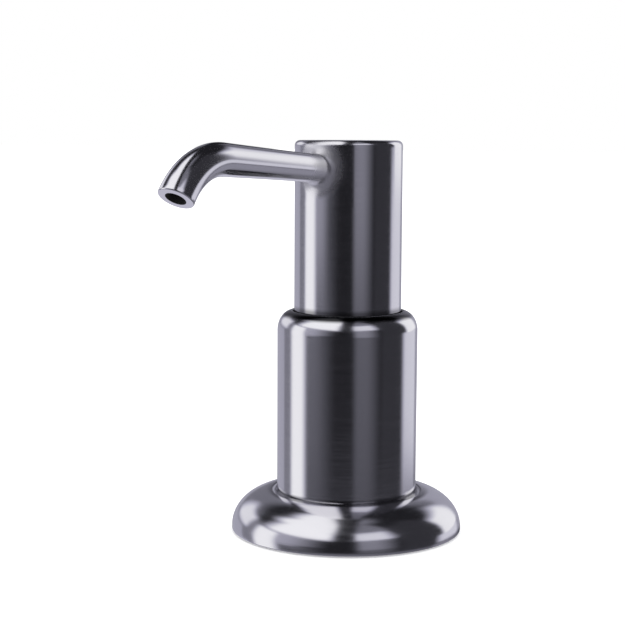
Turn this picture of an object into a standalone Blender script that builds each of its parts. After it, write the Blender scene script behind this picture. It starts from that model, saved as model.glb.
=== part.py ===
"""Deck-mounted soap pump dispenser, in metres, +Z up.

The origin is the centre of the flange's underside, where the dispenser stands on the sink deck. The
spout points along -Y. Five groups of pieces move: the pump cartridge lifts out of the collar, the
plunger slides in the cartridge, the head swivels on the plunger's stem, and two check balls lift off
their seats.
"""

import math

import bmesh
import bpy
from mathutils import Matrix, Vector

MM = 0.001
FIT_GAP = 0.3 * MM  # clearance kept between two pieces that touch in the real assembly

# Outside of the dispenser
FLANGE_RADIUS = 27.0 * MM
RIM_LIFT = 0.3 * MM  # the metal rim stays off the deck, which only the gasket touches
COLLAR_RADIUS = 16.4 * MM
COLLAR_FOOT = 8.7 * MM
COLLAR_TOP = 52.0 * MM
COLLAR_SHOULDER = 3.6 * MM  # radius of the rounded top edge
HEAD_RADIUS = 12.5 * MM
HEAD_WALL = 1.2 * MM
HEAD_TOP = 91.5 * MM
HEAD_EDGE = 1.2 * MM

# Spout centreline: a straight run that climbs gently, then one arc down to the outlet
SPOUT_LEVEL = 85.2 * MM  # height of the centreline at the head's surface
SPOUT_CLIMB = math.radians(4.0)
SPOUT_START = 10.2 * MM  # distance from the head's axis to the spout's inner end
SPOUT_BEND_START = 47.7 * MM
SPOUT_BEND_RADIUS = 16.8 * MM
SPOUT_DIVE = math.radians(57.0)  # downward angle at the outlet
SPOUT_ROOT_RADIUS = 3.2 * MM
SPOUT_TIP_RADIUS = 3.9 * MM
SPOUT_BORE = 2.1 * MM
LINER_RADIUS = SPOUT_BORE - FIT_GAP
LINER_BORE = 1.2 * MM
LINER_START = 3.4 * MM
LINER_RECESS = 6.0 * MM  # how far the liner ends inside the outlet

# Collar and the seat for the pump cartridge
COLLAR_BORE = 12.9 * MM
SPIGOT_RADIUS = 12.6 * MM  # passes down through the flange
SPIGOT_END = 0.6 * MM
SOCKET_RADIUS = 10.6 * MM  # takes the shank that clamps the dispenser to the deck
SOCKET_TOP = 11.0 * MM
SEAT_LEVEL = 15.7 * MM
SEAT_BORE = 9.2 * MM
GUIDE_RADIUS = 14.0 * MM
GUIDE_BORE = 12.75 * MM
GUIDE_BOTTOM = 44.0 * MM
GUIDE_TOP = 49.7 * MM
GUIDE_SLIT = 2.0 * MM

# Flange
FLANGE_SEAT = 7.4 * MM
FLANGE_LAND = 9.6 * MM  # height of the dome where it meets the collar
FLANGE_BORE = SPIGOT_RADIUS + 0.4 * MM
DOME_ROUND = (9.8 * MM, 8.3 * MM)  # half-axes of the dome's elliptical section
DOME_LEVEL = 1.1 * MM
DOME_TOP_ANGLE = 84
GASKET_THICKNESS = 1.7 * MM
GASKET_RADIUS = 24.9 * MM

# Pump cartridge
HOUSING_RADIUS = 12.4 * MM
HOUSING_BOTTOM = SEAT_LEVEL + FIT_GAP
HOUSING_SHOULDER = 27.4 * MM
HOUSING_NECK = 9.0 * MM
HOUSING_TOP = 36.9 * MM
HOUSING_BORE = 7.1 * MM
O_RING_LEVEL = 22.0 * MM
CYLINDER_RADIUS = 6.7 * MM
CYLINDER_BORE = 5.2 * MM
CYLINDER_TOP = 39.9 * MM
CYLINDER_FLOOR = 20.6 * MM
CLOSURE_RADIUS = 10.7 * MM
CLOSURE_BOTTOM = 30.0 * MM
CLOSURE_TOP = 42.6 * MM
SPRING_BOTTOM = 43.7 * MM
SPRING_TOP = 65.0 * MM
SPRING_RADIUS = 6.0 * MM
SPRING_WIRE = 0.9 * MM
SPRING_TURNS = 7

# Check valves
INLET_BALL_RADIUS = 2.0 * MM
INLET_BALL_LEVEL = 16.15 * MM
OUTLET_BALL_RADIUS = 1.9 * MM
OUTLET_BALL_LEVEL = 77.35 * MM

# Plunger and the insert that joins it to the head
STEM_RADIUS = 3.0 * MM
STEM_BORE = 1.6 * MM
STEM_BOTTOM = 34.8 * MM
STEM_TOP = 77.0 * MM
PISTON_BOTTOM = 33.0 * MM
PISTON_RADIUS = 4.8 * MM
INSERT_BOTTOM = 65.3 * MM
INSERT_TOP = 88.4 * MM
INSERT_RADIUS = HEAD_RADIUS - HEAD_WALL - FIT_GAP
INSERT_RIBS = 6
SKIRT_END = 40.0 * MM  # bottom of the head's shell, hidden in the collar

LARGE_SIDES = 40
SMALL_SIDES = 20

MATERIALS = {
    "brushed_steel": ((0.36, 0.35, 0.37), 0.28, 1.0),
    "spring_steel": ((0.55, 0.55, 0.56), 0.25, 1.0),
    "white_acetal": ((0.83, 0.83, 0.80), 0.45, 0.0),
    "black_acetal": ((0.03, 0.03, 0.03), 0.4, 0.0),
    "grey_polypropylene": ((0.32, 0.33, 0.34), 0.5, 0.0),
    "natural_polyethylene": ((0.78, 0.80, 0.80), 0.4, 0.0),
    "black_rubber": ((0.02, 0.02, 0.02), 0.8, 0.0),
}


# ---------------------------------------------------------------- helpers


def clear_scene():
    for obj in list(bpy.data.objects):
        bpy.data.objects.remove(obj)


def new_collection(name):
    collection = bpy.data.collections.new(name)
    bpy.context.scene.collection.children.link(collection)
    return collection


def make_materials():
    for name, (colour, roughness, metallic) in MATERIALS.items():
        material = bpy.data.materials.new(name)
        material.use_nodes = True
        shader = material.node_tree.nodes["Principled BSDF"]
        shader.inputs["Base Color"].default_value = (*colour, 1.0)
        shader.inputs["Roughness"].default_value = roughness
        shader.inputs["Metallic"].default_value = metallic


def add_object(name, mesh, collection, material=None):
    obj = bpy.data.objects.new(name, mesh)
    collection.objects.link(obj)
    if material:
        mesh.materials.append(bpy.data.materials[material])
    return obj


def turned(name, outline, material, sides=SMALL_SIDES):
    """A closed (radius, height) outline turned about Z. It runs down its outer side and up its inner one.

    An outline whose two ends lie on the axis stays open there, and its ends merge into poles.
    """
    on_axis = outline[0][0] == 0 and outline[-1][0] == 0
    count = len(outline)
    edges = [(i, (i + 1) % count) for i in range(count - 1 if on_axis else count)]
    mesh = bpy.data.meshes.new(name)
    mesh.from_pydata([(radius, 0, height) for radius, height in outline], edges, [])
    obj = add_object(name, mesh, PARTS, material)
    screw = obj.modifiers.new("Turn", "SCREW")
    screw.steps = screw.render_steps = sides
    screw.use_merge_vertices = True
    screw.merge_threshold = 0.01 * MM
    return obj


def ring(name, inner, outer, bottom, top, material, sides=SMALL_SIDES):
    outline = [(outer, top), (outer, bottom), (inner, bottom), (inner, top)]
    return turned(name, outline, material, sides)


def arc(centre, radii, start, end, steps):
    """Points on an ellipse's arc, between two angles in degrees, in the (radius, height) plane."""
    points = []
    for i in range(steps + 1):
        angle = math.radians(start + (end - start) * i / steps)
        points.append(
            (centre[0] + radii[0] * math.cos(angle), centre[1] + radii[1] * math.sin(angle))
        )
    return points


def torus(name, radius, minor_radius, height, material):
    bpy.ops.mesh.primitive_torus_add(
        major_radius=radius,
        minor_radius=minor_radius,
        major_segments=SMALL_SIDES,
        minor_segments=8,
        location=(0, 0, height),
    )
    return adopt_primitive(name, material)


def ball(name, radius, height, material):
    bpy.ops.mesh.primitive_uv_sphere_add(
        radius=radius, segments=16, ring_count=10, location=(0, 0, height)
    )
    return adopt_primitive(name, material)


def adopt_primitive(name, material):
    obj = bpy.context.object
    obj.name = obj.data.name = name
    for collection in list(obj.users_collection):
        collection.objects.unlink(obj)
    PARTS.objects.link(obj)
    obj.data.materials.append(bpy.data.materials[material])
    return obj


def add_boolean(obj, operation, other):
    modifier = obj.modifiers.new(other.name, "BOOLEAN")
    modifier.operation = operation
    modifier.solver = "EXACT"
    modifier.object = other


def helper(name, mesh):
    """A cutter, or a shape to be joined to a piece."""
    obj = add_object(name, mesh, CUTTERS)
    obj.hide_render = True
    obj.display_type = "WIRE"
    return obj


def rod(name, start, end, radius, sides=SMALL_SIDES):
    """A solid cylinder between two points, for a Boolean."""
    start, end = Vector(start), Vector(end)
    mesh = bpy.data.meshes.new(name)
    work = bmesh.new()
    bmesh.ops.create_cone(
        work,
        cap_ends=True,
        segments=sides,
        radius1=radius,
        radius2=radius,
        depth=(end - start).length,
    )
    work.to_mesh(mesh)
    work.free()
    obj = helper(name, mesh)
    obj.location = (start + end) / 2
    obj.rotation_mode = "QUATERNION"
    obj.rotation_quaternion = (end - start).to_track_quat("Z", "Y")
    return obj


def block(name, size, centre, turn=0.0):
    """A box of that size about a centre, turned about Z, for a Boolean."""
    mesh = bpy.data.meshes.new(name)
    work = bmesh.new()
    bmesh.ops.create_cube(work, size=1.0)
    bmesh.ops.scale(work, vec=size, verts=work.verts)
    bmesh.ops.translate(work, vec=centre, verts=work.verts)
    bmesh.ops.rotate(work, matrix=Matrix.Rotation(turn, 3, "Z"), verts=work.verts)
    work.to_mesh(mesh)
    work.free()
    return helper(name, mesh)


# ---------------------------------------------------------------- spout centreline


def spout_point(distance):
    """(place, heading) of the centreline where it has gone this far out from the head's axis.

    The heading is the angle above the horizontal. Distances past the bend's start run along the arc.
    """
    slope = math.tan(SPOUT_CLIMB)
    if distance <= SPOUT_BEND_START:
        height = SPOUT_LEVEL + (distance - HEAD_RADIUS) * slope
        return Vector((0, -distance, height)), SPOUT_CLIMB
    bend_level = SPOUT_LEVEL + (SPOUT_BEND_START - HEAD_RADIUS) * slope
    heading = SPOUT_CLIMB - (distance - SPOUT_BEND_START) / SPOUT_BEND_RADIUS
    out = SPOUT_BEND_START + SPOUT_BEND_RADIUS * (math.sin(SPOUT_CLIMB) - math.sin(heading))
    height = bend_level - SPOUT_BEND_RADIUS * (math.cos(SPOUT_CLIMB) - math.cos(heading))
    return Vector((0, -out, height)), heading


SPOUT_END = SPOUT_BEND_START + SPOUT_BEND_RADIUS * (SPOUT_CLIMB + SPOUT_DIVE)


def spout_radius(distance):
    """The spout swells slowly from its root to its outlet."""
    share = (distance - SPOUT_START) / (SPOUT_END - SPOUT_START)
    return SPOUT_ROOT_RADIUS + (SPOUT_TIP_RADIUS - SPOUT_ROOT_RADIUS) * share**1.6


def swept(name, stations, radius_at, sides):
    """A solid tube along the spout's centreline, as a mesh with its caps welded."""
    curve = bpy.data.curves.new(name, "CURVE")
    curve.dimensions = "3D"
    curve.bevel_depth = 1.0 * MM
    curve.bevel_resolution = sides // 2 - 2
    curve.use_fill_caps = True
    spline = curve.splines.new("POLY")
    spline.points.add(len(stations) - 1)
    for point, distance in zip(spline.points, stations):
        place, _ = spout_point(distance)
        point.co = (*place, 1.0)
        point.radius = radius_at(distance) / curve.bevel_depth
    wire = bpy.data.objects.new(name + "_wire", curve)
    CUTTERS.objects.link(wire)
    bpy.context.view_layer.update()
    graph = bpy.context.evaluated_depsgraph_get()
    mesh = bpy.data.meshes.new_from_object(wire.evaluated_get(graph))
    bpy.data.objects.remove(wire)
    work = bmesh.new()
    work.from_mesh(mesh)
    bmesh.ops.remove_doubles(work, verts=work.verts, dist=0.005 * MM)
    bmesh.ops.recalc_face_normals(work, faces=work.faces)
    work.to_mesh(mesh)
    work.free()
    mesh.materials.clear()
    return mesh


def stations_between(start, end, straight_steps=2, bend_steps=8):
    """Distances along the centreline: few on the straight run, more round the bend."""
    straight = [
        start + (SPOUT_BEND_START - start) * i / straight_steps for i in range(straight_steps)
    ]
    bend = [
        SPOUT_BEND_START + (end - SPOUT_BEND_START) * i / bend_steps
        for i in range(bend_steps + 1)
    ]
    return straight + bend


# ---------------------------------------------------------------- fixed base


def make_flange():
    """Domed cover plate, with a recess on top for the collar's foot and a hollow underneath."""
    recess = COLLAR_RADIUS + FIT_GAP
    dome_centre = (FLANGE_RADIUS - DOME_ROUND[0], DOME_LEVEL)
    dome = arc(dome_centre, DOME_ROUND, DOME_TOP_ANGLE, 0, 9)
    edge = 0.3 * MM
    boss_radius = 15.6 * MM
    rim_inner = FLANGE_RADIUS - 1.8 * MM
    hollow_top = FLANGE_SEAT - 1.5 * MM
    underside = [
        (FLANGE_RADIUS, RIM_LIFT + edge),
        (FLANGE_RADIUS - edge, RIM_LIFT),
        (rim_inner, RIM_LIFT),
        (rim_inner, 2.6 * MM),
        (rim_inner - 1.6 * MM, 4.4 * MM),
        (rim_inner - 4.2 * MM, hollow_top),
        (boss_radius, hollow_top),
        (boss_radius, GASKET_THICKNESS + FIT_GAP),
        (FLANGE_BORE, GASKET_THICKNESS + FIT_GAP),
        (FLANGE_BORE, FLANGE_SEAT),
        (recess, FLANGE_SEAT),
        (recess, FLANGE_LAND),
    ]
    return turned("flange", dome + underside, "brushed_steel", LARGE_SIDES)


def make_deck_gasket():
    inner = FLANGE_BORE + FIT_GAP
    return ring(
        "deck_gasket", inner, GASKET_RADIUS, 0, GASKET_THICKNESS, "black_rubber", LARGE_SIDES
    )


def make_foot_seal():
    """Flat seal between the flange's seat and the collar's foot."""
    bottom, top = FLANGE_SEAT + FIT_GAP, COLLAR_FOOT - FIT_GAP
    inner, outer = FLANGE_BORE + 0.2 * MM, COLLAR_RADIUS - 0.4 * MM
    return ring("foot_seal", inner, outer, bottom, top, "black_rubber", LARGE_SIDES)


def make_collar():
    """Outer sleeve with a rounded shoulder, the cartridge's seat inside and a spigot down to the deck."""
    shoulder_centre = (COLLAR_RADIUS - COLLAR_SHOULDER, COLLAR_TOP - COLLAR_SHOULDER)
    shoulder = arc(shoulder_centre, (COLLAR_SHOULDER, COLLAR_SHOULDER), 83, 0, 6)
    edge = 0.4 * MM
    pocket_radius = GUIDE_RADIUS + FIT_GAP
    outline = [
        (COLLAR_BORE, COLLAR_TOP - FIT_GAP),
        *shoulder,
        (COLLAR_RADIUS, COLLAR_FOOT + edge),
        (COLLAR_RADIUS - edge, COLLAR_FOOT),
        (SPIGOT_RADIUS, COLLAR_FOOT),
        (SPIGOT_RADIUS, SPIGOT_END + edge),
        (SPIGOT_RADIUS - edge, SPIGOT_END),
        (SOCKET_RADIUS, SPIGOT_END),
        (SOCKET_RADIUS, SOCKET_TOP),
        (SEAT_BORE, SOCKET_TOP),
        (SEAT_BORE, SEAT_LEVEL),
        (COLLAR_BORE, SEAT_LEVEL),
        (COLLAR_BORE, GUIDE_BOTTOM - FIT_GAP),
        (pocket_radius, GUIDE_BOTTOM - FIT_GAP),
        (pocket_radius, GUIDE_TOP + FIT_GAP),
        (COLLAR_BORE, GUIDE_TOP + FIT_GAP),
    ]
    return turned("collar", outline, "brushed_steel", LARGE_SIDES)


def make_guide_ring():
    """Split bush that snaps into the collar's pocket and guides the head's skirt."""
    obj = ring(
        "guide_ring",
        GUIDE_BORE,
        GUIDE_RADIUS,
        GUIDE_BOTTOM,
        GUIDE_TOP,
        "black_acetal",
        LARGE_SIDES,
    )
    height = GUIDE_TOP - GUIDE_BOTTOM
    centre = (0, GUIDE_RADIUS, (GUIDE_TOP + GUIDE_BOTTOM) / 2)
    slit = block("guide_slit", (GUIDE_SLIT, 4 * MM, 2 * height), centre)
    add_boolean(obj, "DIFFERENCE", slit)
    return obj


# ---------------------------------------------------------------- pump cartridge


def make_pump_housing():
    """Plug that drops into the collar: a groove for the O-ring, and a neck for the closure cap."""
    groove = 1.2 * MM
    groove_floor = 10.3 * MM
    edge = 0.4 * MM
    outline = [
        (HOUSING_NECK, HOUSING_TOP),
        (HOUSING_NECK, HOUSING_SHOULDER),
        (HOUSING_RADIUS, HOUSING_SHOULDER),
        (HOUSING_RADIUS, O_RING_LEVEL + groove),
        (groove_floor, O_RING_LEVEL + groove),
        (groove_floor, O_RING_LEVEL - groove),
        (HOUSING_RADIUS, O_RING_LEVEL - groove),
        (HOUSING_RADIUS, HOUSING_BOTTOM + edge),
        (HOUSING_RADIUS - edge, HOUSING_BOTTOM),
        (HOUSING_BORE, HOUSING_BOTTOM),
        (HOUSING_BORE, HOUSING_TOP),
    ]
    return turned("pump_housing", outline, "grey_polypropylene", LARGE_SIDES)


def make_housing_o_ring():
    return torus("housing_o_ring", 11.6 * MM, 0.95 * MM, O_RING_LEVEL, "black_rubber")


def make_pump_cylinder():
    """Flanged tube with the inlet valve's chamber and the dip-tube socket in its lower end."""
    outline = [
        (8.9 * MM, CYLINDER_TOP),
        (8.9 * MM, CYLINDER_TOP - 1.6 * MM),
        (CYLINDER_RADIUS, CYLINDER_TOP - 1.6 * MM),
        (CYLINDER_RADIUS, 16.0 * MM),
        (3.9 * MM, 13.4 * MM),
        (3.4 * MM, 13.0 * MM),
        (3.4 * MM, 9.5 * MM),
        (2.3 * MM, 9.5 * MM),
        (2.3 * MM, 12.5 * MM),
        (1.4 * MM, 12.5 * MM),
        (1.4 * MM, 14.6 * MM),
        (2.6 * MM, 15.8 * MM),
        (2.6 * MM, 19.0 * MM),
        (3.3 * MM, 19.0 * MM),
        (3.3 * MM, CYLINDER_FLOOR),
        (CYLINDER_BORE, CYLINDER_FLOOR),
        (CYLINDER_BORE, CYLINDER_TOP),
    ]
    return turned("pump_cylinder", outline, "natural_polyethylene", SMALL_SIDES)


def make_cylinder_gasket():
    bottom = HOUSING_TOP + FIT_GAP
    return ring(
        "cylinder_gasket", 7.4 * MM, 8.8 * MM, bottom, bottom + 0.8 * MM, "black_rubber"
    )


def make_closure_cap():
    """Screw cap that clamps the cylinder on the housing and guides the stem."""
    edge = 0.4 * MM
    outline = [
        (CLOSURE_RADIUS - edge, CLOSURE_TOP),
        (CLOSURE_RADIUS, CLOSURE_TOP - edge),
        (CLOSURE_RADIUS, CLOSURE_BOTTOM),
        (HOUSING_NECK + FIT_GAP, CLOSURE_BOTTOM),
        (HOUSING_NECK + FIT_GAP, CYLINDER_TOP + FIT_GAP),
        (STEM_RADIUS + FIT_GAP, CYLINDER_TOP + FIT_GAP),
        (STEM_RADIUS + FIT_GAP, 41.0 * MM),
        (4.6 * MM, 41.0 * MM),
        (4.6 * MM, CLOSURE_TOP),
    ]
    return turned("closure_cap", outline, "white_acetal", LARGE_SIDES)


def make_stem_wiper():
    return ring("stem_wiper", 3.2 * MM, 4.3 * MM, 41.3 * MM, 42.3 * MM, "black_rubber")


def make_spring_washer():
    bottom = CLOSURE_TOP + FIT_GAP
    return ring("spring_washer", 3.3 * MM, 7.0 * MM, bottom, bottom + 0.5 * MM, "spring_steel")


def make_inlet_ball_cage():
    """Notched ring that stops the inlet ball and lets soap past it."""
    obj = ring("inlet_ball_cage", 1.4 * MM, 3.0 * MM, 19.3 * MM, 20.3 * MM, "white_acetal")
    for i in range(3):
        notch = block(
            f"cage_notch_{i + 1}",
            (1.0 * MM, 1.6 * MM, 3.0 * MM),
            (0, 1.5 * MM, 19.8 * MM),
            turn=math.tau * i / 3,
        )
        add_boolean(obj, "DIFFERENCE", notch)
    return obj


def make_return_spring():
    """Compression spring with one closed turn at each end."""
    points_per_turn = 10
    closed_pitch = 1.15 * MM
    low = SPRING_BOTTOM + SPRING_WIRE / 2
    high = SPRING_TOP - SPRING_WIRE / 2
    open_pitch = (high - low - 2 * closed_pitch) / (SPRING_TURNS - 2)
    curve = bpy.data.curves.new("return_spring", "CURVE")
    curve.dimensions = "3D"
    curve.bevel_depth = SPRING_WIRE / 2
    curve.bevel_resolution = 2
    curve.use_fill_caps = True
    spline = curve.splines.new("POLY")
    count = SPRING_TURNS * points_per_turn + 1
    spline.points.add(count - 1)
    for i, point in enumerate(spline.points):
        turn = i / points_per_turn
        open_turns = min(max(turn - 1, 0), SPRING_TURNS - 2)
        height = low + closed_pitch * (turn - open_turns) + open_pitch * open_turns
        angle = math.tau * turn
        point.co = (
            SPRING_RADIUS * math.cos(angle),
            SPRING_RADIUS * math.sin(angle),
            height,
            1.0,
        )
    obj = bpy.data.objects.new("return_spring", curve)
    PARTS.objects.link(obj)
    curve.materials.append(bpy.data.materials["spring_steel"])
    return obj


# ---------------------------------------------------------------- plunger and valves


def make_piston():
    """Bored piston with a groove for its cup seal. Its top stops against the closure cap."""
    outline = [
        (PISTON_RADIUS, CYLINDER_TOP),
        (PISTON_RADIUS, 37.6 * MM),
        (3.95 * MM, 37.6 * MM),
        (3.95 * MM, 35.0 * MM),
        (PISTON_RADIUS, 35.0 * MM),
        (PISTON_RADIUS, PISTON_BOTTOM),
        (STEM_BORE, PISTON_BOTTOM),
        (STEM_BORE, STEM_BOTTOM - FIT_GAP),
        (STEM_RADIUS + FIT_GAP, STEM_BOTTOM - FIT_GAP),
        (STEM_RADIUS + FIT_GAP, CYLINDER_TOP),
    ]
    return turned("piston", outline, "white_acetal")


def make_piston_cup_seal():
    """Seal with two lips that wipe the cylinder's bore."""
    lip, waist, inner = 5.05 * MM, 4.75 * MM, 4.25 * MM
    outline = [
        (4.9 * MM, 37.3 * MM),
        (lip, 36.9 * MM),
        (waist, 36.3 * MM),
        (lip, 35.7 * MM),
        (4.9 * MM, 35.3 * MM),
        (inner, 35.3 * MM),
        (inner, 37.3 * MM),
    ]
    return turned("piston_cup_seal", outline, "black_rubber")


def make_pump_stem():
    """Hollow rod with a snap bead below its top, where the outlet ball sits in a cone."""
    bead = 0.4 * MM
    outline = [
        (STEM_RADIUS - 0.2 * MM, STEM_TOP),
        (STEM_RADIUS, STEM_TOP - 0.3 * MM),
        (STEM_RADIUS, 75.9 * MM),
        (STEM_RADIUS + bead, 75.4 * MM),
        (STEM_RADIUS + bead, 74.9 * MM),
        (STEM_RADIUS, 74.4 * MM),
        (STEM_RADIUS, STEM_BOTTOM),
        (STEM_BORE, STEM_BOTTOM),
        (STEM_BORE, STEM_TOP - 0.9 * MM),
        (2.5 * MM, STEM_TOP),
    ]
    return turned("pump_stem", outline, "white_acetal")


# ---------------------------------------------------------------- head


def make_head_insert():
    """Moulded insert: the stem's socket, the outlet valve's chamber and an elbow to the spout's liner."""
    boss, top_boss = 6.2 * MM, 5.2 * MM
    disc = 1.8 * MM
    upper_disc = 78.0 * MM
    socket = STEM_RADIUS + FIT_GAP
    chamber_top = 80.4 * MM
    outline = [
        (0, INSERT_TOP),
        (top_boss, INSERT_TOP),
        (top_boss, 81.5 * MM),
        (boss, 80.9 * MM),
        (boss, upper_disc + disc),
        (INSERT_RADIUS, upper_disc + disc),
        (INSERT_RADIUS, upper_disc),
        (boss, upper_disc),
        (boss, INSERT_BOTTOM + disc),
        (INSERT_RADIUS, INSERT_BOTTOM + disc),
        (INSERT_RADIUS, INSERT_BOTTOM),
        (socket, INSERT_BOTTOM),
        (socket, 69.0 * MM),
        (4.9 * MM, 69.0 * MM),
        (4.9 * MM, 71.2 * MM),
        (socket, 71.2 * MM),
        (socket, 74.1 * MM),
        (3.75 * MM, 74.1 * MM),
        (3.75 * MM, 76.0 * MM),
        (socket, 76.0 * MM),
        (socket, STEM_TOP + FIT_GAP),
        (2.5 * MM, STEM_TOP + FIT_GAP),
        (2.5 * MM, chamber_top),
        (0, chamber_top),
    ]
    obj = turned("head_insert", outline, "white_acetal", LARGE_SIDES)
    rib_low, rib_high = INSERT_BOTTOM + disc - 0.4 * MM, upper_disc + 0.4 * MM
    rib_inner, rib_outer = boss - 0.5 * MM, INSERT_RADIUS - 0.4 * MM
    for i in range(INSERT_RIBS):
        rib = block(
            f"insert_rib_{i + 1}",
            (rib_outer - rib_inner, 1.2 * MM, rib_high - rib_low),
            ((rib_outer + rib_inner) / 2, 0, (rib_high + rib_low) / 2),
            turn=math.tau * (i + 0.5) / INSERT_RIBS,
        )
        add_boolean(obj, "UNION", rib)
    axis_start, _ = spout_point(0)
    outlet_end, _ = spout_point(8.2 * MM)
    counterbore_start, _ = spout_point(LINER_START - 0.4 * MM)
    beyond, _ = spout_point(9.5 * MM)
    add_boolean(obj, "UNION", rod("insert_outlet", axis_start, outlet_end, 3.4 * MM))
    riser_top = (0, 0, axis_start.z + 1.1 * MM)
    riser = rod("insert_riser", (0, 0, chamber_top - MM), riser_top, 1.3 * MM)
    add_boolean(obj, "DIFFERENCE", riser)
    elbow = rod("insert_elbow", axis_start, counterbore_start + Vector((0, -MM, 0)), 1.15 * MM)
    add_boolean(obj, "DIFFERENCE", elbow)
    counterbore = rod("insert_counterbore", counterbore_start, beyond, SPOUT_BORE)
    add_boolean(obj, "DIFFERENCE", counterbore)
    return obj


def make_socket_o_ring():
    """Swivel seal between the stem and the head's insert."""
    return torus("socket_o_ring", 4.07 * MM, 0.75 * MM, 70.1 * MM, "black_rubber")


def make_spout():
    stations = stations_between(SPOUT_START, SPOUT_END)
    mesh = swept("spout", stations, spout_radius, SMALL_SIDES)
    obj = add_object("spout", mesh, PARTS, "brushed_steel")
    past_ends = stations_between(SPOUT_START - 2 * MM, SPOUT_END + 1 * MM)
    bore = swept("spout_bore", past_ends, lambda distance: SPOUT_BORE, 16)
    add_boolean(obj, "DIFFERENCE", helper("spout_bore", bore))
    return obj


def make_outlet_liner():
    """Soft tube that carries the soap from the insert to just inside the outlet."""
    end = SPOUT_END - LINER_RECESS
    mesh = swept("outlet_liner", stations_between(LINER_START, end), lambda _: LINER_RADIUS, 12)
    obj = add_object("outlet_liner", mesh, PARTS, "natural_polyethylene")
    past_ends = stations_between(LINER_START - 1 * MM, end + 1 * MM)
    bore = swept("liner_bore", past_ends, lambda _: LINER_BORE, 12)
    add_boolean(obj, "DIFFERENCE", helper("liner_bore", bore))
    return obj


def make_head_shell():
    """Drawn cap with a rounded top edge and a hole in its side for the spout."""
    edge_centre = (HEAD_RADIUS - HEAD_EDGE, HEAD_TOP - HEAD_EDGE)
    inner = HEAD_RADIUS - HEAD_WALL
    chamfer = 0.4 * MM
    outline = [
        (0, HEAD_TOP),
        *arc(edge_centre, (HEAD_EDGE, HEAD_EDGE), 90, 0, 4),
        (HEAD_RADIUS, SKIRT_END + chamfer),
        (HEAD_RADIUS - chamfer, SKIRT_END),
        (inner, SKIRT_END),
        (inner, HEAD_TOP - 1.6 * MM),
        (0, HEAD_TOP - 1.6 * MM),
    ]
    obj = turned("head_shell", outline, "brushed_steel", LARGE_SIDES)
    inside, _ = spout_point(8 * MM)
    outside, _ = spout_point(16 * MM)
    hole = rod("spout_hole", inside, outside, SPOUT_ROOT_RADIUS + FIT_GAP)
    add_boolean(obj, "DIFFERENCE", hole)
    return obj


# ---------------------------------------------------------------- assembly


def gather(name, height, pieces):
    """Parents the pieces of one moving group to an empty on its joint's axis, leaving them in place."""
    pivot = bpy.data.objects.new(name, None)
    pivot.location = (0, 0, height)
    PARTS.objects.link(pivot)
    for piece in pieces:
        piece.parent = pivot
        piece.location.z -= height


def build():
    gather(
        "base",
        0,
        [make_flange(), make_deck_gasket(), make_foot_seal(), make_collar(), make_guide_ring()],
    )
    gather(
        "cartridge",
        SEAT_LEVEL,
        [
            make_pump_housing(),
            make_housing_o_ring(),
            make_pump_cylinder(),
            make_cylinder_gasket(),
            make_closure_cap(),
            make_stem_wiper(),
            make_spring_washer(),
            make_inlet_ball_cage(),
            make_return_spring(),
        ],
    )
    gather("plunger", PISTON_BOTTOM, [make_piston(), make_piston_cup_seal(), make_pump_stem()])
    gather(
        "head",
        INSERT_BOTTOM,
        [
            make_head_insert(),
            make_socket_o_ring(),
            make_outlet_liner(),
            make_spout(),
            make_head_shell(),
        ],
    )
    ball("inlet_ball", INLET_BALL_RADIUS, INLET_BALL_LEVEL, "spring_steel")
    ball("outlet_ball", OUTLET_BALL_RADIUS, OUTLET_BALL_LEVEL, "spring_steel")


clear_scene()
PARTS = new_collection("soap_pump_dispenser")
CUTTERS = new_collection("cutters")
CUTTERS.hide_render = True
make_materials()
build()
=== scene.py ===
"""Looks of a deck-mounted soap pump dispenser: satin stainless shells over a moulded pump.

Metres, +Z up, the pump's axis on Z and the spout along -Y.
"""

import math

import bpy
from mathutils import Matrix, Vector


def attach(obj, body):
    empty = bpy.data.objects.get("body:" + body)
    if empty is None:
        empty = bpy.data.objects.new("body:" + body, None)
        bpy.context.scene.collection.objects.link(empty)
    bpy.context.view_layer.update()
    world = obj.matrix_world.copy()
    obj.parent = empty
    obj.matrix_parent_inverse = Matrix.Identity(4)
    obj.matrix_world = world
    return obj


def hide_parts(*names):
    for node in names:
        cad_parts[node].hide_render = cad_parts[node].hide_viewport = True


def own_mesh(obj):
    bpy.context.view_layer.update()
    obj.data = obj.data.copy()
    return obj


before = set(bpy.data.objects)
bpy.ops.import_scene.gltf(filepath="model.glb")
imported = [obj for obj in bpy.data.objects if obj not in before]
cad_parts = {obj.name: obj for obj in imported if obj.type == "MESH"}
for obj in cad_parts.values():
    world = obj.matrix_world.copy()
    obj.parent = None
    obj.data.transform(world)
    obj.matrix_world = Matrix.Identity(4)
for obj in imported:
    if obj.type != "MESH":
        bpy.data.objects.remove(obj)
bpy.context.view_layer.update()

MM = 0.001
ROUND = 160  # sides of a turned piece
UP = Vector((0, 0, 1))

# The outside, as the maker draws it (mm)
COLLAR_RADIUS = 16.4
HEAD_RADIUS = 12.5
HEAD_TOP = 91.5
HEAD_WALL = 1.2
HEAD_EDGE = 1.2  # rounding of the head's top edge
HEAD_SIDES = 128
SPOUT_LEVEL = 85.2
SPOUT_CLIMB = math.radians(4.0)
SPOUT_BEND_START = 47.7
SPOUT_BEND_RADIUS = 16.8
SPOUT_DIVE = math.radians(57.0)
SPOUT_END = SPOUT_BEND_START + SPOUT_BEND_RADIUS * (SPOUT_CLIMB + SPOUT_DIVE)
SPOUT_ROOT = 3.2
SPOUT_TIP = 3.9
SPOUT_BORE = 2.1
OUTLET_EDGE = 0.25  # rounding of the outlet's outer edge
BORE_EDGE = 0.12  # and of its bore
SPOUT_STEPS = 24  # rings along the straight run, and as many round the bend

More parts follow.
